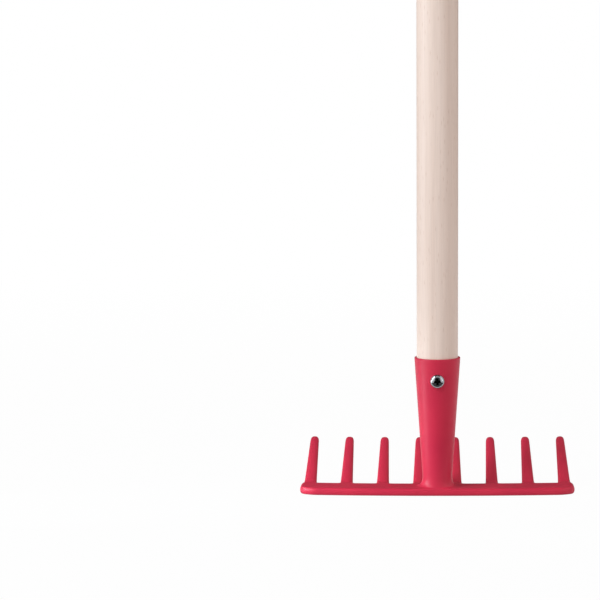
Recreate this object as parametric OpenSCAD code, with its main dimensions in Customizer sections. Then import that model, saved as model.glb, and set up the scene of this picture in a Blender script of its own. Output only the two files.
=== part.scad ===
// Toy sand rake: a plastic head with a tapered socket, a wooden handle and one fixing screw.
// The handle stands along Z. The bar lies along X with its flat underside at z = 0,
// and the tines reach back along +Y and rise towards the handle.

/* [Handle] */
// Diameter of the wooden stick
handle_d = 24; // [20:0.5:28]
// Height of the whole rake, from the bar's underside to the end of the stick
overall_h = 700; // [400:10:1000]
// Rounding of the stick's upper end
handle_end_r = 7; // [2:0.5:9]
// Chamfer on the stick's tapered lower end
tenon_chamfer = 1; // [0.5:0.1:2]

/* [Socket] */
// Height of the socket's rim above the bar's underside
socket_h = 80.5; // [65:0.5:110]
// Taper of the socket and of the stick's end, each side, in degrees
socket_taper = 3.9; // [2:0.1:4.5]
// Thickness of the socket's wall, measured across
socket_wall = 1.3; // [1:0.1:3]
// Height of the bore's closed end above the bar's underside
socket_floor = 14; // [8:0.5:20]
// Gap between the stick's end and the bore's closed end
end_gap = 2; // [0.5:0.5:5]
// Radial clearance between the stick's taper and the bore
taper_clearance = 0.1; // [0.05:0.05:0.3]
// Rounding of the rim's outer edge
rim_r = 0.5; // [0.2:0.1:0.9]
// Fillet where the socket stands on the bar
foot_fillet = 2.5; // [1:0.5:4]
// Set-back of the socket's foot from the bar's front and back faces
foot_inset = 0.5; // [0.2:0.1:1]

/* [Bar] */
// Length of the bar beyond the flanks of the outer tines, at each end
bar_overhang = 1.5; // [0.5:0.1:10]
// Radius of the bar's gentle bow, seen from above
bar_bow_r = 900; // [400:50:3000]
// Depth of the bar, front to back
bar_depth = 18.5; // [17:0.5:24]
// Thickness of the bar
bar_t = 4.5; // [4.2:0.1:7]
// Rounding of the bar's edges
bar_edge_r = 2; // [0.5:0.1:2]

/* [Tines] */
// Number of tines
tine_count = 8; // [4:1:12]
// Spacing of the tines
tine_pitch = 21.5; // [16:0.1:30]
// Length of a tine along its slope
tine_l = 54.5; // [35:0.5:70]
// Angle at which the tines rise, in degrees
tine_lean = 23.5; // [5:0.5:35]
// Radius of the bend where a tine leaves the bar
tine_bend_r = 12; // [6:1:30]
// Width of a tine at the bar
tine_root_w = 7.4; // [5:0.1:9]
// Width of a tine at its tip
tine_tip_w = 5.1; // [3:0.1:6]
// Thickness of a tine at the bar
tine_root_t = 4.1; // [3:0.1:4.1]
// Thickness of a tine at its tip
tine_tip_t = 3.6; // [2.5:0.1:4]
// Fillet between a tine and the bar, seen from above
tine_fillet = 2; // [0.5:0.5:4]

/* [Fixing screw] */
// Distance of the screw below the rim
screw_drop = 12.5; // [9:0.5:25]
// Diameter of the screw's pan head
screw_head_d = 8; // [6:0.5:9]
// Height of the screw's head
screw_head_h = 3; // [2:0.1:4]
// Height of the straight edge below the head's dome
screw_edge_h = 1; // [0.5:0.1:1.5]
// Length of the screw under its head
screw_l = 16; // [12:1:19]
// Outer diameter of the thread
thread_d = 4.2; // [3.5:0.1:5]
// Diameter of the thread's core
thread_core_d = 3.1; // [2.4:0.1:3.2]
// Pitch of the thread
thread_pitch = 1.4; // [1.2:0.1:1.8]
// Length of the screw's pointed end
screw_point_l = 3.5; // [2:0.5:5]
// Width of the cross recess's arms
recess_w = 1.2; // [0.8:0.1:1.5]
// Span of the cross recess across the head
recess_span = 4.8; // [3:0.1:5]
// Depth of the cross recess
recess_depth = 2; // [1:0.1:2]
// Radial clearance of the screw in the plastic wall
wall_hole_clearance = 0.25; // [0.1:0.05:0.5]
// Clearance of the thread in the wood
wood_clearance = 0.05; // [0.02:0.01:0.1]
// Margin of the flat boss around the screw's head
boss_margin = 0.4; // [0.2:0.1:1.5]

/* [Hidden] */
$fn = 96;
// Facets round the full circle of the bar's bow
bow_facets = 1440;
// Steps along a rounded corner, along a bend and along a thread's flank
arc_steps = 6;
overlap = 1;
// The bar's round ends are narrower than the bar by this on each side, so the two never just graze
graze_gap = 0.05;

handle_r = handle_d / 2;
slope = tan(socket_taper);
bar_back = bar_depth / 2;
tine_row = (tine_count - 1) * tine_pitch;
bar_l = tine_row + tine_root_w + 2 * bar_overhang;
tine_embed = 6;
screw_z = socket_h - screw_drop;

// Middle of the bar's half-round end, the angle of the bow there, and the bow's depth at any x
bar_end_x = (bar_l - bar_depth) / 2;
bow_angle = asin(bar_end_x / bar_bow_r);
function bow_y(x) = bar_bow_r - sqrt(bar_bow_r * bar_bow_r - x * x);

// Radius of the stick's taper, of the bore and of the socket's outside, at a height
function tenon_r(z) = handle_r - (socket_h - z) * slope;
function bore_r(z) = tenon_r(z) + taper_clearance;
function socket_r(z) = bore_r(z) + socket_wall;

// Face of the boss: it just clears the tapered wall at the upper edge of the screw's head
boss_r = screw_head_d / 2 + boss_margin;
boss_face = socket_r(screw_z + boss_r);

// Points on an arc about a centre
function arc(centre, r, from, to) =
    [for (i = [0 : arc_steps])
        let (a = from + (to - from) * i / arc_steps)
        centre + r * [cos(a), sin(a)]];

// Middle line of a tine in the YZ plane, by distance from its start inside the bar:
// level for a stretch, then bent upwards, then straight
bend_l = tine_bend_r * tine_lean * PI / 180;
bend_start = [bar_back, bar_t / 2];
bend_end = bend_start + tine_bend_r * [sin(tine_lean), 1 - cos(tine_lean)];
function tine_angle(s) = min(s / bend_l, 1) * tine_lean;
function tine_mid(s) =
    s < bend_l
        ? bend_start + tine_bend_r * [sin(tine_angle(s)), 1 - cos(tine_angle(s))]
        : bend_end + (s - bend_l) * [cos(tine_lean), sin(tine_lean)];
function tine_half_t(s) = (tine_root_t + (tine_tip_t - tine_root_t) * s / tine_l) / 2;
function tine_normal(s) = [-sin(tine_angle(s)), cos(tine_angle(s))];
tine_round_s = tine_l - tine_tip_t / 2;
tine_end_y = tine_mid(tine_l)[0];

// Half of the bar's cross section, from its middle out to one rounded edge
function half_section(width) =
    concat(
        [[0, 0]],
        arc([width - bar_edge_r, bar_edge_r], bar_edge_r, -90, 0),
        arc([width - bar_edge_r, bar_t - bar_edge_r], bar_edge_r, 0, 90),
        [[0, bar_t]]
    );

module bar_section() {
    half = half_section(bar_back);
    polygon(concat(half, [for (i = [len(half) - 2 : -1 : 1]) [-half[i][0], half[i][1]]]));
}

// A YZ outline drawn out along X, centred on x = 0
module along_x(length) {
    rotate([90, 0, 90])
        linear_extrude(length, center = true)
            children();
}

// Sweeps a section along the bar's bow, a shallow arc about a point far behind it
module along_bow() {
    translate([0, bar_bow_r, 0])
        rotate(-90 - bow_angle)
            rotate_extrude(angle = 2 * bow_angle, $fn = bow_facets)
                translate([bar_bow_r, 0])
                    children();
}

// The bar, with half-round ends
module bar() {
    along_bow()
        bar_section();
    for (side = [-1, 1])
        translate([side * bar_end_x, bow_y(bar_end_x), 0])
            rotate_extrude()
                polygon(half_section(bar_back - graze_gap));
}

// Side view of a tine: the level stretch inside the bar, the bend, the straight and the round tip
module tine_side() {
    bend = [for (i = [0 : arc_steps]) bend_l * i / arc_steps];
    stops = concat(bend, [tine_round_s]);
    start = bend_start - [tine_embed, 0];
    half = [0, tine_root_t / 2];
    under = [for (s = stops) tine_mid(s) - tine_half_t(s) * tine_normal(s)];
    over = [for (s = stops) tine_mid(s) + tine_half_t(s) * tine_normal(s)];
    tip = arc(tine_mid(tine_round_s), tine_half_t(tine_round_s), tine_lean - 75, tine_lean + 75);
    polygon(concat(
        [start - half],
        under,
        tip,
        [for (i = [len(over) - 1 : -1 : 0]) over[i]],
        [start + half]
    ));
}

// A tine seen from above, with a fillet against the bar on each flank and a round tip
module tine_plan(left, right) {
    root = tine_root_w / 2;
    tip = tine_tip_w / 2;
    polygon(concat(
        [[root + right, bar_back - tine_embed]],
        arc([root + right, bar_back + right], right, 270, 180),
        arc([0, tine_end_y - tip], tip, 0, 180),
        arc([-root - left, bar_back + left], left, 0, -90),
        [[-root - left, bar_back - tine_embed]]
    ));
}

module tine(left, right) {
    intersection() {
        along_x(tine_root_w + 2 * (tine_fillet + overlap))
            tine_side();
        linear_extrude(overall_h)
            tine_plan(left, right);
    }
}

// The row of tines. On the outer flanks the fillet ends with the bar.
module tines() {
    outer = min(tine_fillet, bar_overhang);
    for (i = [0 : tine_count - 1]) {
        x = i * tine_pitch - tine_row / 2;
        translate([x, bow_y(x), 0])
            tine(i == 0 ? outer : tine_fillet, i == tine_count - 1 ? outer : tine_fillet);
    }
}

// Outside of the socket, with a rounded rim
module socket_outside() {
    foot_z = bar_t / 2;
    rotate_extrude()
        polygon(concat(
            [[0, foot_z], [socket_r(foot_z), foot_z]],
            arc([socket_r(socket_h) - rim_r, socket_h - rim_r], rim_r, 0, 90),
            [[0, socket_h]]
        ));
}

// Fillet round the socket's foot, cut off short of the bar's front and back faces
module socket_foot() {
    foot_z = bar_t - 2 * graze_gap;
    r = socket_r(foot_z);
    intersection() {
        rotate_extrude()
            polygon(concat(
                [[0, bar_t / 2], [r + foot_fillet, bar_t / 2]],
                arc([r + foot_fillet, foot_z + foot_fillet], foot_fillet, 270, 180),
                [[0, foot_z + foot_fillet]]
            ));
        along_bow()
            translate([foot_inset - bar_back, 0])
                square([bar_depth - 2 * foot_inset, socket_h]);
    }
}

// Tapered hollow for the stick
module socket_bore() {
    top = socket_h + overlap;
    translate([0, 0, socket_floor])
        cylinder(h = top - socket_floor, r1 = bore_r(socket_floor), r2 = bore_r(top));
}

// Turns a shape that stands on z = 0 to face the front at the screw's height
module at_screw() {
    translate([0, -boss_face, screw_z])
        rotate([90, 0, 0])
            children();
}

module socket() {
    difference() {
        union() {
            socket_outside();
            socket_foot();
            at_screw()
                translate([0, 0, -socket_wall - taper_clearance])
                    cylinder(h = socket_wall + taper_clearance, r = boss_r);
        }
        socket_bore();
        at_screw()
            translate([0, 0, -handle_r])
                cylinder(h = handle_d, r = thread_d / 2 + wall_hole_clearance);
    }
}

module rake_head() {
    color("crimson")
        union() {
            bar();
            tines();
            socket();
        }
}

// Half outline of the threaded shank and its point, grown by a clearance, below z = 0
module shank_half(clearance) {
    core = thread_core_d / 2 + clearance;
    crest = thread_d / 2 + clearance;
    turns = floor((screw_l - screw_point_l) / thread_pitch);
    ridges = [for (i = [0 : turns - 1], k = [0 : 2])
        let (z = -thread_pitch * (i + 0.25 + 0.25 * k))
        [k == 1 ? crest : core, z]];
    polygon(concat(
        [[0, clearance], [core, clearance]],
        ridges,
        [[core, -(screw_l - screw_point_l)], [0, -screw_l - 2 * clearance]]
    ));
}

module shank(clearance) {
    rotate_extrude()
        shank_half(clearance);
}

// Cross recess: two crossed arms that narrow towards the bottom
module recess() {
    translate([0, 0, screw_head_h - recess_depth])
        intersection() {
            cylinder(h = recess_depth + overlap, r1 = recess_w / 2, r2 = recess_span / 2 + overlap / 2);
            for (a = [0, 90])
                rotate(a)
                    translate([-recess_span / 2, -recess_w / 2, 0])
                        cube([recess_span, recess_w, recess_depth + overlap]);
        }
}

module fixing_screw() {
    r = screw_head_d / 2;
    rise = screw_head_h - screw_edge_h;
    dome_r = (r * r + rise * rise) / (2 * rise);
    color("silver")
        at_screw()
            union() {
                difference() {
                    intersection() {
                        cylinder(h = screw_head_h, r = r);
                        translate([0, 0, screw_head_h - dome_r])
                            sphere(dome_r);
                    }
                    recess();
                }
                shank(0);
            }
}

// The stick: a turned taper at the bottom, a plain length and a rounded end
module handle() {
    end_z = socket_floor + end_gap;
    end_r = tenon_r(end_z);
    color("wheat")
        difference() {
            rotate_extrude()
                polygon(concat(
                    [[0, end_z], [end_r - tenon_chamfer, end_z]],
                    [[tenon_r(end_z + tenon_chamfer), end_z + tenon_chamfer]],
                    [[handle_r, socket_h]],
                    arc([handle_r - handle_end_r, overall_h - handle_end_r], handle_end_r, 0, 90),
                    [[0, overall_h]]
                ));
            at_screw()
                shank(wood_clearance);
        }
}

handle();
rake_head();
fixing_screw();
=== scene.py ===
# %% [markdown]
# # A toy sand rake
# The rake has three pieces: a red plastic head, a turned wooden stick and one zinc-plated screw.
# The CAD model gives their sizes and places. Here each piece is modelled again with soft moulded
# edges and a finish of its own. All sizes below are in millimetres until the MM factor turns them
# into Blender's metres.

# %% The frame
import math

import bmesh
import bpy
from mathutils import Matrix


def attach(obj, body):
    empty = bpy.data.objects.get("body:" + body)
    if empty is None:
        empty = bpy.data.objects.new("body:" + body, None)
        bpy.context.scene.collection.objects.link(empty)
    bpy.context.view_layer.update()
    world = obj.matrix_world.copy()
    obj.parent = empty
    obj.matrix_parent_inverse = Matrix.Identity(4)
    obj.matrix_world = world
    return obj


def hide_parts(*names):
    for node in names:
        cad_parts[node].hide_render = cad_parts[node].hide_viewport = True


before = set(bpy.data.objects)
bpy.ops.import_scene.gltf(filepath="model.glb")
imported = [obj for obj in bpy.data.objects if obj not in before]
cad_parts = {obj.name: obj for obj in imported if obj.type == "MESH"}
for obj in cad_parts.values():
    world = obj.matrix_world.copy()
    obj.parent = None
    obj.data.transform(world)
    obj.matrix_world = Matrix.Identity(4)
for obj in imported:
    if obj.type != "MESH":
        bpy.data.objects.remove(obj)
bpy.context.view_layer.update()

# %% [markdown]
# ## Small helpers
# Operators work on what is selected, so a piece is started with everything else deselected, and
# faces or points are then picked in code. They could be picked by their numbers in the mesh, but
# numbers change with every cut and places don't. So they are picked by where they lie.

# %% Helpers for starting and selecting
MM = 0.001


def mm(*values):
    """Turns millimetres into metres."""
    return tuple(v * MM for v in values)


def near(value, target, margin=0.05):
    return abs(value - target) < margin


def start_piece(name):
    """Names the new primitive, puts its place into its mesh and opens it for editing."""
    piece = bpy.context.active_object
    piece.name = piece.data.name = name
    bpy.ops.object.transform_apply(location=True, rotation=True, scale=True)
    bpy.ops.object.mode_set(mode="EDIT")
    return piece


def pick(kind, test):
    """Selects the points or faces of the open mesh whose place in millimetres passes a test."""
    bpy.ops.mesh.select_mode(type="VERT" if kind == "verts" else "FACE")
    bpy.ops.mesh.select_all(action="DESELECT")
    mesh = bpy.context.edit_object.data
    shape = bmesh.from_edit_mesh(mesh)
    found = 0
    for item in getattr(shape, kind):
        place = item.co if kind == "verts" else item.calc_center_median()
        if test(place / MM):
            item.select_set(True)
            found += 1
    shape.select_flush_mode()
    bmesh.update_edit_mesh(mesh)
    return found


def draw_in(test, shares, centre=(0, 0, 0)):
    """Scales the points that pass a test towards a centre."""
    pick("verts", test)
    bpy.ops.transform.resize(value=shares, center_override=centre)


def cut(axis, place):
    """Cuts the open mesh all the way through at a place along X or Y."""
    bpy.ops.mesh.select_all(action="SELECT")
    normal = (1, 0, 0) if axis == "x" else (0, 1, 0)
    bpy.ops.mesh.bisect(plane_co=tuple(place * MM * n for n in normal), plane_no=normal)


print("one millimetre in Blender's metres:", mm(1))

# %% [markdown]
# ## The head's bar
# The head is one polypropylene moulding, so it is modelled as one skin. It could be put together
# from overlapping solids, but a single cage under a subdivision surface gives the soft fillets that
# a mould gives. The cage starts as a box and is cut where tines, fillets and the socket will need
# an edge. Subdivision pulls every outline in a little, so the cage is a touch larger than the bar.

# %% The bar's cage
BAR_L, BAR_DEPTH, BAR_T = 160.9, 18.5, 4.5
TINE_COUNT, TINE_PITCH = 8, 21.5
TINE_X = [(i - (TINE_COUNT - 1) / 2) * TINE_PITCH for i in range(TINE_COUNT)]
BACK_GAIN, END_GAIN = 0.11, 0.03
CAGE_BACK = BAR_DEPTH / 2 + BACK_GAIN
CAGE_END = BAR_L / 2 + END_GAIN
LAST_CUT = CAGE_END - 1
EDGE_LINE = 6.6
# Cuts beside each tine's middle: its flat face, its flank and the end of its fillet
TINE_FLAT, TINE_SIDE, TINE_FILLET = 2.3, 4.2, 7.0

bpy.ops.object.select_all(action="DESELECT")
bpy.ops.mesh.primitive_cube_add(size=1, location=mm(0, 0, BAR_T / 2))
bpy.context.active_object.scale = mm(2 * CAGE_END, 2 * CAGE_BACK, BAR_T)
head = start_piece("rake_head_moulding")
for y in (-EDGE_LINE, -EDGE_LINE / 2, 0, EDGE_LINE / 2, EDGE_LINE):
    cut("y", y)
for x in TINE_X:
    for offset in (-TINE_FILLET, -TINE_SIDE, -TINE_FLAT, TINE_FLAT, TINE_SIDE, TINE_FILLET):
        if abs(x + offset) < LAST_CUT:
            cut("x", x + offset)
cut("x", 0)
print("bar cage:", len(bmesh.from_edit_mesh(head.data).faces), "faces")

# %% [markdown]
# Seen from above, the real bar ends in a half circle. A bevel there would cut through the outer
# tine's root, so the columns of points near each end are drawn in towards the bar's middle line. At
# the back the outer tine covers most of the round, so only the last column is drawn in there.

# %% The bar's round ends
END_MIDDLE = (BAR_L - BAR_DEPTH) / 2
END_R = BAR_DEPTH / 2 + 0.6
OFF_MIDDLE = 0.1
# How much of the depth, in front and behind, and of the thickness is left at the very end
END_FRONT, END_REAR, END_T = 0.34, 0.3, 0.6

for side in (-1, 1):
    for offset in (-TINE_FLAT, TINE_FLAT, TINE_SIDE):
        column = TINE_X[-1] + offset
        round_in = math.sqrt(1 - ((column - END_MIDDLE) / END_R) ** 2)
        draw_in(lambda p: near(p.x, side * column) and p.y < -OFF_MIDDLE, (1, round_in, 1))
    draw_in(lambda p: near(p.x, side * CAGE_END) and p.y < -OFF_MIDDLE, (1, END_FRONT, 1))
    draw_in(lambda p: near(p.x, side * CAGE_END) and p.y > OFF_MIDDLE, (1, END_REAR, 1))
    draw_in(lambda p: near(p.x, side * CAGE_END), (1, 1, END_T), mm(0, 0, BAR_T / 2))
print("round ends drawn in about x =", END_MIDDLE, "mm")

# %% [markdown]
# ## The tines
# Each tine grows out of the bar's back face, bends up and runs on straight to a rounded tip. A
# curve with a bevel could make it, but it would only stick in the bar. So it is extruded from the
# bar's own faces, ring by ring along its middle line, and each ring is turned and narrowed a
# little.

# %% A tine's middle line and its rings
TINE_L, TINE_BEND_R = 54.5, 12.0
TINE_LEAN = math.radians(23.5)
ROOT_W, TIP_W = 7.4, 5.1
ROOT_T, TIP_T = 4.1, 3.6
BEND_L = TINE_BEND_R * TINE_LEAN
# Makes up for what subdivision takes off the width
WIDTH_GAIN = 1.016
# Distance from the bar, then width and thickness as shares of the plain taper
TINE_RINGS = (
    (1.2, 1.18, 1.0),
    (3.0, 1.08, 1.0),
    (BEND_L + 0.6, 1.02, 1.0),
    (10, 1.0, 1.0),
    (30, 1.0, 1.0),
    (TINE_L - 5.6, 1.0, 1.0),
    (TINE_L - 3.4, 0.98, 0.98),
    (TINE_L - 1.7, 0.87, 0.88),
    (TINE_L - 0.72, 0.62, 0.62),
    (TINE_L - 0.3, 0.28, 0.28),
)


def tine_line(s):
    """Place (y, z) and angle of the tine's middle line at a distance from the bar."""
    angle = min(s / BEND_L, 1) * TINE_LEAN
    y = CAGE_BACK + TINE_BEND_R * math.sin(angle)
    z = BAR_T / 2 + TINE_BEND_R * (1 - math.cos(angle))
    run = max(s - BEND_L, 0)
    return y + run * math.cos(TINE_LEAN), z + run * math.sin(TINE_LEAN), angle


def half_width(s, share):
    return (ROOT_W + (TIP_W - ROOT_W) * s / TINE_L) / 2 * share * WIDTH_GAIN


tip_y, tip_z, _ = tine_line(TINE_L)
print("bend:", round(BEND_L, 2), "mm long, tip at y, z =", round(tip_y, 2), round(tip_z, 2))


# %% The tines, extruded from the back of the bar
def across(angle):
    """Axes for scaling a ring: across the tine, along it, and through its thickness."""
    c, s = math.cos(angle), math.sin(angle)
    return ((1, 0, 0), (0, c, s), (0, -s, c))


def squeeze(thickness, angle, centre):
    """Scales what is selected through the tine's thickness."""
    bpy.ops.transform.resize(
        value=(1, 1, thickness), orient_type="GLOBAL", orient_matrix=across(angle),
        orient_matrix_type="GLOBAL", center_override=centre,
    )


def grow_tine(x):
    """Extrudes one tine from the back of the bar, ring by ring."""
    pick("faces", lambda p: near(p.y, CAGE_BACK) and abs(p.x - x) < TINE_SIDE)
    y, z, angle = tine_line(0)
    width, thickness = TINE_SIDE, 1.0
    for s, w_share, t_share in TINE_RINGS:
        new_y, new_z, new_angle = tine_line(s)
        bpy.ops.mesh.extrude_region_move(
            TRANSFORM_OT_translate={"value": mm(0, new_y - y, new_z - z)}
        )
        centre = mm(x, new_y, new_z)
        bpy.ops.transform.rotate(
            value=-(new_angle - angle), orient_axis="X", center_override=centre
        )
        new_width = half_width(s, w_share)
        new_thickness = (ROOT_T + (TIP_T - ROOT_T) * s / TINE_L) / BAR_T * t_share
        bpy.ops.transform.resize(value=(new_width / width, 1, 1), center_override=centre)
        squeeze(new_thickness / thickness, new_angle, centre)
        y, z, angle = new_y, new_z, new_angle
        width, thickness = new_width, new_thickness


for tine_x in TINE_X:
    grow_tine(tine_x)
top = max(v.co.z for v in bmesh.from_edit_mesh(head.data).verts) / MM
print("tines rise to", round(top, 2), "mm")

# %% [markdown]
# A mould gives a tine no sharp edge: its section is an oval. A bevel would add faces all along it,
# so the outer points of every ring are drawn towards the ring's middle plane instead, and
# subdivision then rounds the section off. The first ring stays full, to meet the bar.

# %% Oval tines
SIDE_T = 0.5
RING_MARGIN = 0.05
OUTER_SHARE = 0.8


def outer_points(p, s, w_share):
    """True for a point at the side of the ring at this distance, on any tine."""
    y, z, angle = tine_line(s)
    along = (p.y - y) * math.cos(angle) + (p.z - z) * math.sin(angle)
    side = min(abs(p.x - x) for x in TINE_X)
    return abs(along) < RING_MARGIN and side > OUTER_SHARE * half_width(s, w_share)


found = 0
for s, w_share, _ in TINE_RINGS[1:]:
    y, z, angle = tine_line(s)
    found += pick("verts", lambda p: outer_points(p, s, w_share))
    squeeze(SIDE_T, angle, mm(0, y, z))
print("side points drawn in:", found)

# %% [markdown]
# The bar isn't quite straight: seen from above it bows gently, and the tines keep parallel. A bend
# would fan the tines out, so each point is simply moved back by the depth of the bow at its place.

# %% The bow
BAR_BOW_R = 900.0


def bow(x):
    return BAR_BOW_R - math.sqrt(BAR_BOW_R**2 - x**2)


shape = bmesh.from_edit_mesh(head.data)
for v in shape.verts:
    v.co.y += bow(v.co.x / MM) * MM
bmesh.update_edit_mesh(head.data)
print("bow at the bar's ends:", round(bow(BAR_L / 2), 2), "mm")

# %% [markdown]
# ## The socket
# The tapered socket grows out of the middle of the bar. It could be a cone that is joined on, but
# the real one has a soft fillet at its foot. So its foot is a hole in the top of the cage, and a
# ring with as many points as the hole is added above it and extruded up the outside, over the rim
# and down the bore. The two open loops are then bridged, which leaves one closed skin. The stick's
# end, the bore and the outside are cones with one slope, so each radius follows from the one
# before.

# %% The socket's sizes
HANDLE_R = 12.0
SOCKET_H, SOCKET_FLOOR = 80.5, 14.0
SOCKET_WALL, TAPER_CLEARANCE = 1.3, 0.1
SOCKET_SLOPE = math.tan(math.radians(3.9))


def tenon_r(z):
    """Radius of the stick's taper at a height."""
    return HANDLE_R - (SOCKET_H - z) * SOCKET_SLOPE


def bore_r(z):
    return tenon_r(z) + TAPER_CLEARANCE


def socket_r(z):
    return bore_r(z) + SOCKET_WALL


print("socket's radius at bar and rim:", round(socket_r(BAR_T), 2), round(socket_r(SOCKET_H), 2))

# %% The hole for the foot
FOOT_X = TINE_X[TINE_COUNT // 2] + TINE_FLAT
FOOT_RX, FOOT_RY = 12.5, 8.8
LEVEL_MARGIN = 0.02
COLUMN_MARGIN = 0.1
# The bow has moved the rows back a little by now
ROW_MARGIN = 0.2


def on_top(p):
    return near(p.z, BAR_T, LEVEL_MARGIN)


def in_row(p, side):
    return abs(p.x) < FOOT_X + COLUMN_MARGIN and near(p.y, side * EDGE_LINE, ROW_MARGIN)


def in_column(p, side):
    return near(p.x, side * FOOT_X) and abs(p.y) < FOOT_RY + ROW_MARGIN


for side in (-1, 1):
    pick("verts", lambda p: on_top(p) and in_row(p, side))
    bpy.ops.transform.translate(value=mm(0, side * (FOOT_RY - EDGE_LINE), 0))
    pick("verts", lambda p: on_top(p) and in_column(p, side))
    bpy.ops.transform.translate(value=mm(side * (FOOT_RX - FOOT_X), 0, 0))
count = pick("faces", lambda p: on_top(p) and abs(p.x) < FOOT_RX and abs(p.y) < FOOT_RY)
bpy.ops.mesh.delete(type="FACE")
print("foot hole:", count, "faces")

# %% The socket's rings
RING_POINTS = 24
# A subdivided ring shrinks to this share of its points' radius
SHRINK = (2 + math.cos(2 * math.pi / RING_POINTS)) / 3
RIM_EDGE, RIM_LIFT = 0.5, 0.05
FLOOR_EDGE = 0.8
FOOT_TOP = BAR_T + 9.0
# Height, then half width along the bar and across it, where the foot flares out
foot_ring = (BAR_T + 0.4, 10.9, 8.8)
rings = [(BAR_T + 1.8, 9.35, 8.6), (BAR_T + 4.6, 8.55, 8.4)]
wall_z = (24, 50, SOCKET_H - RIM_EDGE, SOCKET_H + RIM_LIFT)
bore_z = (*wall_z[::-1], SOCKET_FLOOR + FLOOR_EDGE, SOCKET_FLOOR)
rings += [(z, socket_r(z), socket_r(z)) for z in (FOOT_TOP, *wall_z)]
rings += [(z, bore_r(z), bore_r(z)) for z in bore_z]

bpy.ops.mesh.select_mode(type="VERT")
bpy.ops.mesh.select_all(action="DESELECT")
z, rx, ry = foot_ring
bpy.ops.mesh.primitive_circle_add(
    vertices=RING_POINTS, radius=MM / SHRINK, location=mm(0, 0, z), fill_type="NOTHING"
)
bpy.ops.transform.resize(value=(rx, ry, 1), center_override=mm(0, 0, z))
for new_z, new_rx, new_ry in rings:
    bpy.ops.mesh.extrude_region_move(TRANSFORM_OT_translate={"value": mm(0, 0, new_z - z)})
    bpy.ops.transform.resize(value=(new_rx / rx, new_ry / ry, 1), center_override=mm(0, 0, new_z))
    z, rx, ry = new_z, new_rx, new_ry
bpy.ops.mesh.edge_face_add()
print("socket:", len(rings) + 1, "rings of", RING_POINTS, "points")

# %% [markdown]
# The hole in the bar and the lowest ring are now the only open edges, so they are found as such and
# bridged. The cage is then merged, turned outwards and subdivided twice. A third level would only
# add faces, because the skin is shaded smooth.


# %% Helpers for finishing a mesh
def make_active(piece):
    bpy.ops.object.select_all(action="DESELECT")
    bpy.context.view_layer.objects.active = piece
    piece.select_set(True)


def apply_modifier(piece, kind, **settings):
    make_active(piece)
    modifier = piece.modifiers.new(kind.lower(), kind)
    for key, value in settings.items():
        setattr(modifier, key, value)
    bpy.ops.object.modifier_apply(modifier=modifier.name)


def outward():
    """Merges doubles, turns every face outwards and leaves edit mode."""
    bpy.ops.mesh.select_all(action="SELECT")
    bpy.ops.mesh.remove_doubles(threshold=0.002 * MM)
    bpy.ops.mesh.normals_make_consistent(inside=False)
    bpy.ops.object.mode_set(mode="OBJECT")


def report(piece):
    """Prints a piece's size in millimetres and its number of faces."""
    corners = [v.co / MM for v in piece.data.vertices]
    size = [max(c[k] for c in corners) - min(c[k] for c in corners) for k in range(3)]
    print(piece.name, "mm:", [round(s, 2) for s in size], "faces:", len(piece.data.polygons))


# %% One closed skin
bpy.ops.mesh.select_all(action="DESELECT")
bpy.ops.mesh.select_mode(type="EDGE")
bpy.ops.mesh.select_non_manifold(extend=False)
bpy.ops.mesh.bridge_edge_loops()
outward()
apply_modifier(head, "SUBSURF", levels=2, render_levels=2)
report(head)

# %% [markdown]
# The screw bears on a small flat boss, because a flat screw head can't sit on a tapered wall. The
# boss could be pulled out of the cage, but it is small and round, so a disc with a broken edge is
# joined to the finished wall. Then the screw's clearance hole is cut.

# %% Helpers for joining and drilling
FACING = (math.pi / 2, 0, 0)
HOLE_SIDES = 48
SCREW_Z = 68.0


def combine(piece, tool, operation):
    """Joins another closed mesh to a piece, or cuts it away, and removes the tool."""
    apply_modifier(piece, "BOOLEAN", object=tool, operation=operation, solver="EXACT")
    bpy.data.objects.remove(tool)


def drill(piece, radius, depth, middle_y):
    """Cuts a round hole along Y at the screw's height."""
    bpy.ops.object.select_all(action="DESELECT")
    bpy.ops.mesh.primitive_cylinder_add(
        vertices=HOLE_SIDES, radius=radius * MM, depth=depth * MM, rotation=FACING,
        location=mm(0, middle_y, SCREW_Z),
    )
    combine(piece, bpy.context.active_object, "DIFFERENCE")


def smooth(piece, degrees):
    make_active(piece)
    bpy.ops.object.shade_smooth_by_angle(angle=math.radians(degrees))


# %% The boss and its hole
BOSS_R, BOSS_BREAK = 4.4, 0.25
BOSS_FACE = socket_r(SCREW_Z + BOSS_R)
BOSS_DEPTH = SOCKET_WALL + TAPER_CLEARANCE
WALL_HOLE_R, WALL_HOLE_L = 2.35, 4.0
WALL_HOLE_IN = 1.0

bpy.ops.object.select_all(action="DESELECT")
bpy.ops.mesh.primitive_cylinder_add(
    vertices=64, radius=BOSS_R * MM, depth=BOSS_DEPTH * MM, rotation=FACING,
    location=mm(0, -BOSS_FACE + BOSS_DEPTH / 2, SCREW_Z),
)
boss = start_piece("boss_tool")
pick("verts", lambda p: near(p.y, -BOSS_FACE))
bpy.ops.mesh.bevel(offset=BOSS_BREAK * MM, segments=3, affect="EDGES")
outward()
combine(head, boss, "UNION")
drill(head, WALL_HOLE_R, WALL_HOLE_L, -BOSS_FACE + WALL_HOLE_IN)
smooth(head, degrees=35)
report(head)

# %% [markdown]
# ## The stick
# The handle is a plain round beech stick. It could be spun from an outline, but it is so nearly a
# cylinder that a few cuts do: one where the taper begins, a drawn-in lower end, and bevels for the
# rounded top and the broken lower edge. A pilot hole takes the screw. The screw's thread has cut
# its way into the wood, so the hole clears the thread's crest.

# %% The stick
OVERALL_H, STICK_END_Z = 700.0, 16.0
HANDLE_END_R, TENON_CHAMFER = 7.0, 1.0
PILOT_R, PILOT_END_Y = 2.15, 4.0

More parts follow.
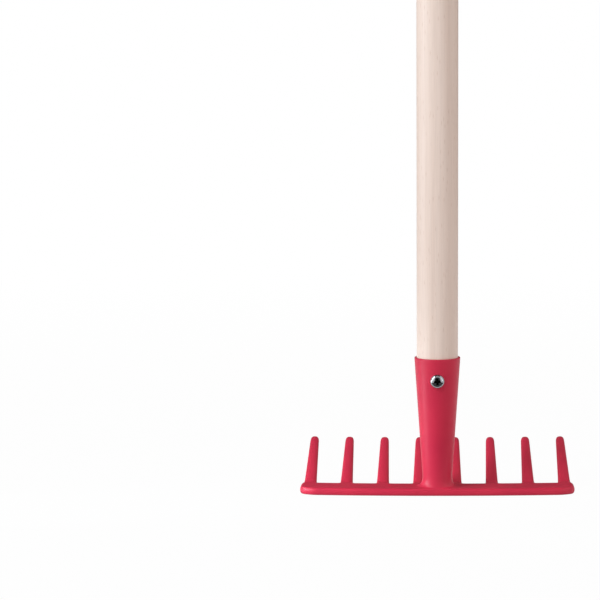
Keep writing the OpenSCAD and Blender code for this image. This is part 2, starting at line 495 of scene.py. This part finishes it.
bpy.ops.object.select_all(action="DESELECT")
bpy.ops.mesh.primitive_cylinder_add(
    vertices=128, radius=HANDLE_R * MM, depth=(OVERALL_H - STICK_END_Z) * MM,
    location=mm(0, 0, (OVERALL_H + STICK_END_Z) / 2),
)
stick = start_piece("handle_stick")
bpy.ops.mesh.select_all(action="SELECT")
bpy.ops.mesh.bisect(plane_co=mm(0, 0, SOCKET_H), plane_no=(0, 0, 1))
narrowed = tenon_r(STICK_END_Z) / HANDLE_R
draw_in(lambda p: near(p.z, STICK_END_Z), (narrowed, narrowed, 1), mm(0, 0, STICK_END_Z))
bpy.ops.mesh.bevel(offset=TENON_CHAMFER * MM, segments=1, affect="EDGES")
pick("verts", lambda p: near(p.z, OVERALL_H))
bpy.ops.mesh.bevel(offset=HANDLE_END_R * MM, segments=10, affect="EDGES")
outward()
drill(stick, PILOT_R, BOSS_FACE + PILOT_END_Y, (PILOT_END_Y - BOSS_FACE) / 2)
smooth(stick, degrees=35)
report(stick)

# %% [markdown]
# ## The screw
# A pan-head screw is a turned shape, so its half outline is drawn as a chain of points from the tip
# to the middle of the head and spun round. A screw modifier could wind a true thread, but it is
# hidden in the wood, so the thread is drawn as ridges.

# %% The screw's half outline
SCREW_L, POINT_L = 16.0, 3.5
CORE_R, CREST_R, THREAD_PITCH = 1.55, 2.1, 1.4
SCREW_HEAD_R, SCREW_HEAD_H = 4.0, 2.94
EDGE_H, EDGE_BREAK = 0.9, 0.12
DOME_STEPS, FLATNESS = 16, 2.2

ridges = []
for turn in range(int((SCREW_L - POINT_L) / THREAD_PITCH)):
    start = -THREAD_PITCH * (turn + 0.25)
    ridges += [
        (CORE_R, start),
        (CREST_R, start - THREAD_PITCH / 4),
        (CORE_R, start - THREAD_PITCH / 2),
    ]
outline = [(0, -SCREW_L), (CORE_R, -SCREW_L + POINT_L)] + ridges[::-1] + [(CORE_R, 0)]
outline += [(SCREW_HEAD_R - EDGE_BREAK, 0), (SCREW_HEAD_R, EDGE_BREAK)]
for step in range(DOME_STEPS + 1):
    a = math.pi / 2 * (1 - step / DOME_STEPS)
    r = SCREW_HEAD_R * math.sin(a) ** (2 / FLATNESS)
    outline.append((r, EDGE_H + (SCREW_HEAD_H - EDGE_H) * math.cos(a)))
print("screw outline:", len(outline), "points")

# %% The screw, spun round its axis
bpy.ops.object.select_all(action="DESELECT")
bpy.ops.mesh.primitive_plane_add(size=MM)
screw = start_piece("pan_head_screw")
bpy.ops.mesh.select_all(action="SELECT")
bpy.ops.mesh.merge(type="CENTER")
r, h = outline[0]
bpy.ops.transform.translate(value=mm(r, -h, 0))
for new_r, new_h in outline[1:]:
    bpy.ops.mesh.extrude_region_move(
        TRANSFORM_OT_translate={"value": mm(new_r - r, h - new_h, 0)}
    )
    r, h = new_r, new_h
bpy.ops.mesh.select_all(action="SELECT")
bpy.ops.mesh.spin(steps=64, angle=2 * math.pi, center=(0, 0, 0), axis=(0, 1, 0))
bpy.ops.mesh.select_all(action="SELECT")
bpy.ops.transform.translate(value=mm(0, -BOSS_FACE, SCREW_Z))
outward()
report(screw)

# %% [markdown]
# The driver's cross is pressed into the head, and its arms get narrower towards the bottom. Insets
# would have to fight the round faces of the dome, so two crossed bars are cut away instead.

# %% The cross recess
RECESS_W, RECESS_SPAN, RECESS_DEPTH = 1.45, 5.1, 2.2
RECESS_TURN = math.radians(5)
# The cutting bar's span and width at its outer end, and what is left of them at the bottom
OUTER_SPAN, OUTER_W = 1.4, 1.2
BOTTOM_SPAN, BOTTOM_W = 0.2, 0.6


def recess_bar(turn):
    """One arm of the recess: a bar whose ends and sides draw in towards the bottom."""
    bottom = -BOSS_FACE - SCREW_HEAD_H + RECESS_DEPTH
    bpy.ops.object.select_all(action="DESELECT")
    bpy.ops.mesh.primitive_cube_add(size=1, location=mm(0, bottom - RECESS_DEPTH, SCREW_Z))
    size = mm(RECESS_SPAN * OUTER_SPAN, RECESS_DEPTH * 2, RECESS_W * OUTER_W)
    bpy.context.active_object.scale = size
    bar = start_piece("recess_tool")
    draw_in(lambda p: near(p.y, bottom), (BOTTOM_SPAN, 1, BOTTOM_W), mm(0, bottom, SCREW_Z))
    bpy.ops.mesh.select_all(action="SELECT")
    bpy.ops.transform.rotate(value=turn, orient_axis="Y", center_override=mm(0, 0, SCREW_Z))
    outward()
    return bar


for arm in (0, 1):
    combine(screw, recess_bar(RECESS_TURN + arm * math.pi / 2), "DIFFERENCE")
smooth(screw, degrees=32)
report(screw)

# %% [markdown]
# ## Finishes
# Each finish starts from the real material. Colours are written as sRGB hex values and turned to
# linear by one function. Patterns could follow a UV map, but these pieces need none: they read
# Object coordinates in metres, so a pattern's scale is one over its real size in metres.


# %% Helpers for materials
def colour(code):
    """An sRGB hex value as linear red, green, blue and alpha."""
    parts = [int(code[i : i + 2], 16) / 255 for i in (1, 3, 5)]
    linear = [p / 12.92 if p <= 0.04045 else ((p + 0.055) / 1.055) ** 2.4 for p in parts]
    return (*linear, 1.0)


def grey(value):
    return (value, value, value, 1.0)


def per_mm(size):
    """Texture scale for a feature of this size in millimetres."""
    return 1 / (size * MM)


def add(tree, kind, settings=None, inputs=None, links=None, stops=()):
    """Adds one node with its settings, socket values, incoming links and colour stops."""
    node = tree.nodes.new("ShaderNode" + kind)
    for key, value in (settings or {}).items():
        setattr(node, key, value)
    for key, value in (inputs or {}).items():
        node.inputs[key].default_value = value
    for key, source in (links or {}).items():
        tree.links.new(source, node.inputs[key])
    if stops:
        marks = node.color_ramp.elements
        while len(marks) < len(stops):
            marks.new(0.5)
        for mark, (place, tint) in zip(marks, stops):
            mark.position, mark.color = place, tint
    return node


def new_material(name):
    material = bpy.data.materials.new(name)
    material.use_nodes = True
    tree = material.node_tree
    tree.nodes.clear()
    return material, tree


print("middle grey in linear light:", round(colour("#808080")[0], 3))

# %% [markdown]
# The head is injection-moulded polypropylene, dyed through in raspberry red. It has a soft gloss,
# because the mould's wall is finely eroded, and very faint flow clouds in the colour. The surface
# also waves a little where the thick bar shrank as it cooled. A plain colour would look like paint,
# so one noise makes clouds and waves, and a finer one makes the grit that breaks up the gloss.

# %% Moulded polypropylene
CLOUD, GRIT = 22, 0.55

plastic, tree = new_material("moulded_red_polypropylene")
place = add(tree, "TexCoord").outputs["Object"]
clouds = add(
    tree, "TexNoise", inputs={"Scale": per_mm(CLOUD), "Detail": 3.0, "Roughness": 0.5},
    links={"Vector": place},
).outputs["Fac"]
grit = add(
    tree, "TexNoise", inputs={"Scale": per_mm(GRIT), "Detail": 2.0, "Roughness": 0.6},
    links={"Vector": place},
).outputs["Fac"]
tint = add(
    tree, "ValToRGB", links={"Fac": clouds},
    stops=[(0.3, colour("#BE203F")), (0.7, colour("#C72642"))],
).outputs["Color"]
gloss = add(
    tree, "ValToRGB", links={"Fac": grit}, stops=[(0.35, grey(0.38)), (0.65, grey(0.46))]
).outputs["Color"]
waves = add(
    tree, "Bump", inputs={"Strength": 0.12, "Distance": 0.5 * MM}, links={"Height": clouds}
).outputs["Normal"]
skin = add(
    tree, "Bump", inputs={"Strength": 0.10, "Distance": 0.05 * MM},
    links={"Height": grit, "Normal": waves},
).outputs["Normal"]
shader = add(
    tree, "BsdfPrincipled", inputs={"IOR": 1.49, "Specular IOR Level": 0.3},
    links={"Base Color": tint, "Roughness": gloss, "Normal": skin},
)
add(tree, "OutputMaterial", links={"Surface": shader.outputs["BSDF"]})
print("material:", plastic.name, "with", len(tree.nodes), "nodes")

# %% [markdown]
# The stick is sanded beech: pale, slightly pink, with soft bands along its length, and short fine
# flecks where the rays are cut. A wave texture would give rings that are too even, so the bands are
# noise that is stretched along the stick. Real flecks are about a third of a millimetre wide and
# are drawn a little wider here, so that they show.

# %% Beech: bands, fibres and flecks
BAND, FIBRE, FLECK = 5, 0.7, 1.4
# How much shorter a pattern is read along the stick, which stretches it by as much
BAND_ALONG, FIBRE_ALONG, FLECK_ALONG = 0.02, 0.03, 0.16

wood, tree = new_material("sanded_beech")
place = add(tree, "TexCoord").outputs["Object"]
band_place, fibre_place, fleck_place = [
    add(tree, "Mapping", inputs={"Scale": (1.0, 1.0, along)}, links={"Vector": place}).outputs[0]
    for along in (BAND_ALONG, FIBRE_ALONG, FLECK_ALONG)
]
bands = add(
    tree, "TexNoise",
    inputs={"Scale": per_mm(BAND), "Detail": 4.0, "Roughness": 0.55, "Distortion": 0.3},
    links={"Vector": band_place},
).outputs["Fac"]
fibres = add(
    tree, "TexNoise", inputs={"Scale": per_mm(FIBRE), "Detail": 2.0}, links={"Vector": fibre_place}
).outputs["Fac"]
flecks = add(
    tree, "TexVoronoi", settings={"feature": "F1"},
    inputs={"Scale": per_mm(FLECK), "Randomness": 1.0}, links={"Vector": fleck_place},
).outputs["Distance"]
print("beech patterns in mm:", BAND, FIBRE, FLECK)

# %% Beech: colour, relief and gloss
FIBRE_SHARE, FLECK_SHARE = 0.6, 0.3
MULTIPLY = {"data_type": "RGBA", "blend_type": "MULTIPLY"}

ground = add(
    tree, "ValToRGB", links={"Fac": bands},
    stops=[(0.3, colour("#DDC5B8")), (0.55, colour("#E3CDC1")), (0.75, colour("#E8D3C8"))],
).outputs["Color"]
fibre_tint = add(
    tree, "ValToRGB", links={"Fac": fibres}, stops=[(0.35, grey(0.93)), (0.6, grey(1.0))]
).outputs["Color"]
fleck_tint = add(
    tree, "ValToRGB", links={"Fac": flecks}, stops=[(0.05, colour("#CDAE97")), (0.22, grey(1.0))]
).outputs["Color"]
# In a colour Mix node the two colours are sockets 6 and 7, and the result is output 2
grained = add(
    tree, "Mix", settings=MULTIPLY, inputs={"Factor": FIBRE_SHARE},
    links={6: ground, 7: fibre_tint},
).outputs[2]
flecked = add(
    tree, "Mix", settings=MULTIPLY, inputs={"Factor": FLECK_SHARE},
    links={6: grained, 7: fleck_tint},
).outputs[2]
relief = add(
    tree, "Bump", inputs={"Strength": 0.15, "Distance": 0.08 * MM}, links={"Height": fibres}
).outputs["Normal"]
shader = add(
    tree, "BsdfPrincipled", inputs={"IOR": 1.5, "Roughness": 0.45, "Specular IOR Level": 0.3},
    links={"Base Color": flecked, "Normal": relief},
)
add(tree, "OutputMaterial", links={"Surface": shader.outputs["BSDF"]})
print("material:", wood.name, "with", len(tree.nodes), "nodes")

# %% [markdown]
# The screw is steel with a bright zinc plating. Zinc is a cool grey metal, and bright plating is
# nearly a mirror. Barrel plating leaves it slightly uneven, so its tint and its roughness wander.
# The recess gets painted shade. Darker geometry can't make it dark, so the tint darkens with depth
# below the crown, and only near the screw's axis, to keep the head's edge clean.

# %% Zinc plating: patches and painted recess shade
PATCH = 1.1
RECESS_SHADE_R, RECESS_SHADE_START, RECESS_SHADE_FULL = 2.7, 0.45, 1.5

zinc, tree = new_material("zinc_plated_steel")
place = add(tree, "TexCoord").outputs["Object"]
patches = add(
    tree, "TexNoise", inputs={"Scale": per_mm(PATCH), "Detail": 3.0}, links={"Vector": place}
).outputs["Fac"]
# Seen along the screw's axis, with the crown's middle at the origin
head_place = add(
    tree, "Mapping", inputs={"Location": mm(0, BOSS_FACE + SCREW_HEAD_H, -SCREW_Z)},
    links={"Vector": place},
).outputs["Vector"]
axis_place = add(tree, "SeparateXYZ", links={"Vector": head_place}).outputs
flat_place = add(
    tree, "CombineXYZ", links={"X": axis_place["X"], "Y": axis_place["Z"]}
).outputs["Vector"]
from_axis = add(
    tree, "VectorMath", settings={"operation": "LENGTH"}, links={0: flat_place}
).outputs["Value"]
# Painted shade for the recess: its mask holds only near the axis and grows with depth below the
# crown
inside = add(
    tree, "Math", settings={"operation": "LESS_THAN"}, inputs={1: RECESS_SHADE_R * MM},
    links={0: from_axis},
).outputs["Value"]
depth = add(
    tree, "MapRange", inputs={"From Min": RECESS_SHADE_START * MM, "From Max": RECESS_SHADE_FULL * MM},
    links={"Value": axis_place["Y"]},
).outputs["Result"]
painted_recess_shade = add(
    tree, "Math", settings={"operation": "MULTIPLY"}, links={0: inside, 1: depth}
).outputs["Value"]
print("grime within", RECESS_SHADE_R, "mm of the axis, full at", RECESS_SHADE_FULL, "mm depth")

# %% Zinc plating: tint and gloss
plated = add(
    tree, "ValToRGB", links={"Fac": patches},
    stops=[(0.3, colour("#95989D")), (0.7, colour("#ABAEB2"))],
).outputs["Color"]
# The tint turns near black where the painted recess shade is full
tint = add(
    tree, "Mix", settings={"data_type": "RGBA"}, inputs={7: colour("#2B2A2A")},
    links={"Factor": painted_recess_shade, 6: plated},
).outputs[2]
gloss = add(
    tree, "ValToRGB", links={"Fac": patches}, stops=[(0.3, grey(0.08)), (0.7, grey(0.14))]
).outputs["Color"]
dents = add(
    tree, "Bump", inputs={"Strength": 0.12, "Distance": 0.05 * MM}, links={"Height": patches}
).outputs["Normal"]
shader = add(
    tree, "BsdfPrincipled", inputs={"Metallic": 1.0},
    links={"Base Color": tint, "Roughness": gloss, "Normal": dents},
)
add(tree, "OutputMaterial", links={"Surface": shader.outputs["BSDF"]})
print("material:", zinc.name, "with", len(tree.nodes), "nodes")

# %% [markdown]
# ## Putting the pieces on the frame
# The rake has no joint, so every piece rides on the one rigid body. Each stands for its CAD node
# and takes its finish.

# %% Pieces on the frame
for piece, material, node, slot in (
    (head, plastic, "rake_head", "head_plastic"),
    (stick, wood, "handle", "handle_wood"),
    (screw, zinc, "fixing_screw", "screw_zinc"),
):
    piece.data.materials.clear()
    piece.data.materials.append(material)
    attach(piece, "root")
    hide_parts(node)
    print(piece.name, "stands for", node, "in", material.name)

# %% [markdown]
# ## The studio
# The rake stands on a wide sheet of pale grey paper in a white room. To the camera and in gloss the
# paper shines white, and near the rake it keeps a small share of its own shading, so the rake still
# has a shadow. That share fades out with distance, so no line shows where the paper ends. More
# light on white paper could do it too, but it would bleach the rake.


# %% The floor
def seen_rays(tree):
    """One for rays from the camera and for what gloss and glass show, zero for bounced light."""
    path = add(tree, "LightPath").outputs
    seen = path["Is Camera Ray"]
    for kind in ("Is Glossy Ray", "Is Transmission Ray"):
        seen = add(
            tree, "Math", settings={"operation": "MAXIMUM"}, links={0: seen, 1: path[kind]}
        ).outputs["Value"]
    return seen


FLOOR_SIZE = 8.0
# Distance from the rake in metres where the shading starts to fade and where it is gone
FADE_START, FADE_END = 0.3, 1.5
WHITE_NEAR, WHITE_FAR = 0.975, 1.0

bpy.ops.object.select_all(action="DESELECT")
bpy.ops.mesh.primitive_plane_add(size=FLOOR_SIZE)
floor = start_piece("studio_floor")
bpy.ops.mesh.subdivide(number_cuts=3)
bpy.ops.object.mode_set(mode="OBJECT")

paper, tree = new_material("white_paper")
shade = add(tree, "BsdfDiffuse", inputs={"Color": colour("#C8C8C8")}).outputs["BSDF"]
white = add(tree, "Emission", inputs={"Color": grey(1.0), "Strength": 1.0}).outputs["Emission"]
place = add(tree, "TexCoord").outputs["Object"]
reach = add(
    tree, "VectorMath", settings={"operation": "LENGTH"}, links={0: place}
).outputs["Value"]
glow = add(
    tree, "MapRange",
    inputs={
        "From Min": FADE_START, "From Max": FADE_END, "To Min": WHITE_NEAR, "To Max": WHITE_FAR,
    },
    links={"Value": reach},
).outputs["Result"]
share = add(
    tree, "Math", settings={"operation": "MULTIPLY"}, links={0: seen_rays(tree), 1: glow}
).outputs["Value"]
mixed = add(tree, "MixShader", links={"Fac": share, 1: shade, 2: white}).outputs["Shader"]
add(tree, "OutputMaterial", links={"Surface": mixed})
floor.data.materials.append(paper)
print("floor:", FLOOR_SIZE, "m wide")

# %% [markdown]
# A large soft light high on the left draws the bright side of stick and socket and leaves the right
# side in shade. One lamp can't match the photograph: the head is brighter on its left than the
# stick is, so a small light stands low beside it. Its beam is narrow, as behind a honeycomb, and
# points a little down, so that it hardly reaches the pale stick, which would turn white there. A
# weak light fills from the right. The left lights are slightly cool, against the slightly warm
# room, so the wood keeps its colour.


# %% The lights
def softbox(name, place, aim, size, watts, tint="#FFFFFF", beam=180):
    """A rectangular soft light at a place, turned towards a point. Its beam fans out by an angle
    in degrees. The camera doesn't see it."""
    data = bpy.data.lights.new(name, "AREA")
    data.color = colour(tint)[:3]
    data.shape = "RECTANGLE"
    data.size, data.size_y = size
    data.energy = watts
    data.spread = math.radians(beam)
    lamp = bpy.data.objects.new(name, data)
    bpy.context.collection.objects.link(lamp)
    lamp.visible_camera = False
    lamp.location = place
    direction = [a - b for a, b in zip(aim, place)]
    flat = math.hypot(direction[0], direction[1])
    lamp.rotation_euler = (
        math.atan2(flat, -direction[2]), 0, math.atan2(-direction[0], direction[1]),
    )
    print("light:", name, watts, "W")


RAKE_AIM, HEAD_AIM = (0, 0, 0.12), (0, 0, -0.01)
DAYLIGHT = "#E8F7FF"
softbox("key_left", (-0.74, -0.48, 0.59), RAKE_AIM, (0.25, 0.8), 6.3, DAYLIGHT)
softbox("low_left", (-0.25, -0.05, 0.03), HEAD_AIM, (0.10, 0.10), 0.05, DAYLIGHT, beam=50)
softbox("fill_right", (0.81, -0.53, 0.38), RAKE_AIM, (0.12, 0.5), 0.5)

# %% [markdown]
# A white room all round would lay a white veil over the red gloss and leave the screw nothing dark
# to mirror. A photographer hangs dark cloth for that. Three cloths of grey felt show only in the
# gloss and take no light away. A fourth hangs over the rake like a roof and does shade it, because
# the tops of the tines would otherwise be too bright. The camera sees none of them.

# %% The felt cloths
felt, tree = new_material("grey_felt")
shade = add(tree, "BsdfDiffuse", inputs={"Color": colour("#585858")}).outputs["BSDF"]
add(tree, "OutputMaterial", links={"Surface": shade})


def curtain(name, place, width, height, tilt=math.pi / 2, shades=False):
    """A felt cloth, upright or laid flat, that shows in the gloss. It shades only if asked to."""
    bpy.ops.object.select_all(action="DESELECT")
    bpy.ops.mesh.primitive_plane_add(size=1, location=place, rotation=(tilt, 0, 0))
    bpy.context.active_object.scale = (width, height, 1)
    cloth = start_piece(name)
    bpy.ops.object.mode_set(mode="OBJECT")
    cloth.data.materials.append(felt)
    cloth.visible_camera = False
    cloth.visible_shadow = cloth.visible_diffuse = shades
    print("cloth:", name, width, "x", height, "m")


curtain("curtain_front", (0.05, -1.5, 0.7), 1.5, 1.4)
curtain("curtain_back", (0, 1.1, 0.9), 2.6, 1.8)
curtain("curtain_hem", (0.02, -0.77, 0.002), 0.4, 1.46, tilt=0)
curtain("curtain_roof", (0, 0, 1.2), 1.3, 1.3, tilt=0, shades=True)

# %% [markdown]
# The room itself is the world. As light it is a little below white and slightly warm, which keeps
# the shaded side open. To the camera and in gloss it is plain white.

# %% The room
ROOM_STRENGTH = 0.9

world = bpy.data.worlds.new("white_room")
bpy.context.scene.world = world
world.use_nodes = True
tree = world.node_tree
tree.nodes.clear()
room = add(
    tree, "Background", inputs={"Color": colour("#FFFBF8"), "Strength": ROOM_STRENGTH}
).outputs["Background"]
backdrop = add(
    tree, "Background", inputs={"Color": grey(1.0), "Strength": 1.0}
).outputs["Background"]
mixed = add(
    tree, "MixShader", links={"Fac": seen_rays(tree), 1: room, 2: backdrop}
).outputs["Shader"]
add(tree, "OutputWorld", links={"Surface": mixed})
print("room light:", ROOM_STRENGTH)

# %% [markdown]
# The photograph looks at the rake square on, from a little above, through a long lens. The rake
# stands right of the middle. Turning the camera would tilt the bar in the picture, so the lens is
# shifted sideways instead.

# %% The camera
PICTURE_W = 600
RAKE_RIGHT = 137.35
CAMERA_BACK, CAMERA_UP = 1154.7, 225.2
CAMERA_PITCH = 5.51

camera_data = bpy.data.cameras.new("camera")
camera_data.sensor_width = 36
camera_data.lens = 120
camera_data.shift_x = -RAKE_RIGHT / PICTURE_W
camera = bpy.data.objects.new("camera", camera_data)
bpy.context.collection.objects.link(camera)
camera.location = mm(0, -CAMERA_BACK, CAMERA_UP)
camera.rotation_euler = (math.radians(90 - CAMERA_PITCH), 0, 0)
bpy.context.scene.camera = camera
bpy.context.scene.view_settings.view_transform = "Standard"
print("camera:", CAMERA_BACK, "mm in front,", CAMERA_UP, "mm up")
